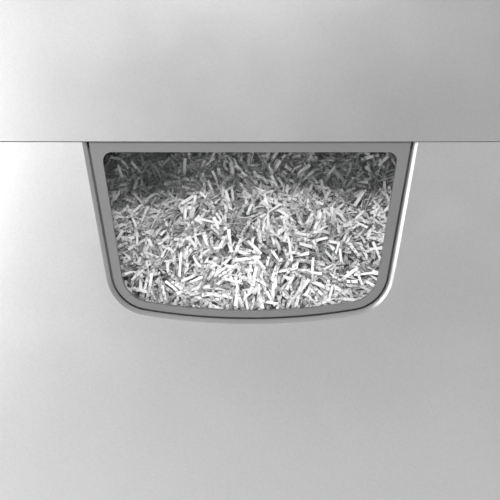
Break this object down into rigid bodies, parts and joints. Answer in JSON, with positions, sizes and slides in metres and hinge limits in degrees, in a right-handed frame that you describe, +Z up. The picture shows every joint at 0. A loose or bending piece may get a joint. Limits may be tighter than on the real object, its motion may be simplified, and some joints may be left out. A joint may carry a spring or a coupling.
{
  "type": "paper shredder",
  "caption": "Office micro-cut paper shredder: cutting head over a cabinet on castors, with a pull-out bin that has a D-shaped window showing the shredded paper.",
  "frame": {"origin": "on the floor, under the middle of the machine's bounding box", "axes": "+Z up, front towards -Y, +X to the right seen from the front"},
  "size_m": [0.376, 0.276, 0.582],
  "materials": {
    "silver_panel": "satin",
    "silver_moulding": "satin",
    "cabinet_grey": "satin",
    "base_black": "matte",
    "frame_grey": "satin",
    "clear_pane": "polished",
    "bucket_grey": "matte",
    "paper": "matte",
    "throat_black": "satin",
    "panel_black": "gloss",
    "button_grey": "satin",
    "led_clear": "gloss",
    "tool_steel": "satin",
    "zinc_steel": "satin",
    "bright_steel": "gloss",
    "bronze": "satin",
    "nylon_white": "satin",
    "motor_steel": "satin",
    "motor_core": "matte",
    "board_green": "satin",
    "switch_black": "satin",
    "castor_black": "satin",
    "castor_tyre": "matte"
  },
  "bodies": {
    "cabinet": {"base_plinth": "base_black", "cabinet_shell": "cabinet_grey", "bin_rails": "nylon_white", "head_tray": "base_black", "head_cover": "silver_moulding", "feed_throat": "throat_black", "paper_sensors": "switch_black", "interlock_switch": "switch_black", "power_board": "board_green", "chassis_plate_left": "zinc_steel", "chassis_plate_right": "zinc_steel", "tie_rods": "bright_steel", "tie_rod_nuts": "zinc_steel", "shaft_bushings": "bronze", "comb_front": "nylon_white", "comb_rear": "nylon_white", "idler_pin": "bright_steel", "motor_can": "motor_steel", "motor_end_bells": "motor_steel", "motor_stator": "motor_core", "control_panel": "panel_black", "led_lenses": "led_clear", "control_board": "board_green", "power_inlet": "switch_black", "switch_bezel": "switch_black", "casing_screws": "zinc_steel"},
    "bin": {"bin_front": "silver_panel", "window_frame": "frame_grey", "window_pane": "clear_pane", "bin_bucket": "bucket_grey", "bin_screws": "zinc_steel", "shredded_paper": "paper"},
    "rear_cutter": {"cutter_rear": "tool_steel", "cutter_shaft_rear": "bright_steel", "sync_gear_rear": "tool_steel", "drive_gear": "tool_steel"},
    "front_cutter": {"cutter_front": "tool_steel", "cutter_shaft_front": "bright_steel", "sync_gear_front": "tool_steel"},
    "idler": {"idler_gear": "nylon_white"},
    "rotor": {"armature": "motor_core", "motor_pinion": "tool_steel", "cooling_fan": "switch_black"},
    "power_key": {"power_button": "button_grey"},
    "reverse_key": {"reverse_button": "button_grey"},
    "forward_key": {"forward_button": "button_grey"},
    "mains_rocker": {"rocker_switch": "switch_black"},
    "castor_front_left": {"castor_fork_front_left": "castor_black", "castor_axle_front_left": "bright_steel"},
    "wheels_front_left": {"castor_wheels_front_left": "castor_tyre"},
    "castor_front_right": {"castor_fork_front_right": "castor_black", "castor_axle_front_right": "bright_steel"},
    "wheels_front_right": {"castor_wheels_front_right": "castor_tyre"},
    "castor_rear_left": {"castor_fork_rear_left": "castor_black", "castor_axle_rear_left": "bright_steel"},
    "wheels_rear_left": {"castor_wheels_rear_left": "castor_tyre"},
    "castor_rear_right": {"castor_fork_rear_right": "castor_black", "castor_axle_rear_right": "bright_steel"},
    "wheels_rear_right": {"castor_wheels_rear_right": "castor_tyre"}
  },
  "joints": [
    {"name": "bin_slide", "type": "slide", "parent": "cabinet", "child": "bin", "axis": [0, -1, 0], "range_m": [0, 0.22]},
    {"name": "cutter_rear_spin", "type": "hinge", "parent": "cabinet", "child": "rear_cutter", "pos_m": [0, 0.019, 0.487], "axis": [1, 0, 0], "continuous": true},
    {"name": "cutter_front_spin", "type": "hinge", "parent": "cabinet", "child": "front_cutter", "pos_m": [0, -0.019, 0.487], "axis": [1, 0, 0], "continuous": true},
    {"name": "idler_spin", "type": "hinge", "parent": "cabinet", "child": "idler", "pos_m": [0.14, 0.05588, 0.487], "axis": [1, 0, 0], "continuous": true},
    {"name": "rotor_spin", "type": "hinge", "parent": "cabinet", "child": "rotor", "pos_m": [0.08, 0.09187, 0.487], "axis": [1, 0, 0], "continuous": true},
    {"name": "power_press", "type": "slide", "parent": "cabinet", "child": "power_key", "axis": [0, 0.342, -0.9397], "range_m": [0, 0.0012], "stiffness_N_per_m": 800, "springref_m": -0.001},
    {"name": "reverse_press", "type": "slide", "parent": "cabinet", "child": "reverse_key", "axis": [0, 0.342, -0.9397], "range_m": [0, 0.0012], "stiffness_N_per_m": 800, "springref_m": -0.001},
    {"name": "forward_press", "type": "slide", "parent": "cabinet", "child": "forward_key", "axis": [0, 0.342, -0.9397], "range_m": [0, 0.0012], "stiffness_N_per_m": 800, "springref_m": -0.001},
    {"name": "rocker_tilt", "type": "hinge", "parent": "cabinet", "child": "mains_rocker", "pos_m": [-0.098, 0.1332, 0.478], "axis": [1, 0, 0], "range_deg": [-20, 0]},
    {"name": "swivel_front_left", "type": "hinge", "parent": "cabinet", "child": "castor_front_left", "pos_m": [-0.135, -0.088, 0.05], "axis": [0, 0, 1], "continuous": true},
    {"name": "roll_front_left", "type": "hinge", "parent": "castor_front_left", "child": "wheels_front_left", "pos_m": [-0.135, -0.076, 0.02], "axis": [1, 0, 0], "continuous": true},
    {"name": "swivel_front_right", "type": "hinge", "parent": "cabinet", "child": "castor_front_right", "pos_m": [0.135, -0.088, 0.05], "axis": [0, 0, 1], "continuous": true},
    {"name": "roll_front_right", "type": "hinge", "parent": "castor_front_right", "child": "wheels_front_right", "pos_m": [0.135, -0.076, 0.02], "axis": [1, 0, 0], "continuous": true},
    {"name": "swivel_rear_left", "type": "hinge", "parent": "cabinet", "child": "castor_rear_left", "pos_m": [-0.135, 0.088, 0.05], "axis": [0, 0, 1], "continuous": true},
    {"name": "roll_rear_left", "type": "hinge", "parent": "castor_rear_left", "child": "wheels_rear_left", "pos_m": [-0.135, 0.1, 0.02], "axis": [1, 0, 0], "continuous": true},
    {"name": "swivel_rear_right", "type": "hinge", "parent": "cabinet", "child": "castor_rear_right", "pos_m": [0.135, 0.088, 0.05], "axis": [0, 0, 1], "continuous": true},
    {"name": "roll_rear_right", "type": "hinge", "parent": "castor_rear_right", "child": "wheels_rear_right", "pos_m": [0.135, 0.1, 0.02], "axis": [1, 0, 0], "continuous": true}
  ],
  "couplings": [
    {"joint": "idler_spin", "follows": "rotor_spin", "ratio": -0.26316},
    {"joint": "cutter_rear_spin", "follows": "rotor_spin", "ratio": 0.089713},
    {"joint": "cutter_front_spin", "follows": "rotor_spin", "ratio": -0.089713}
  ]
}
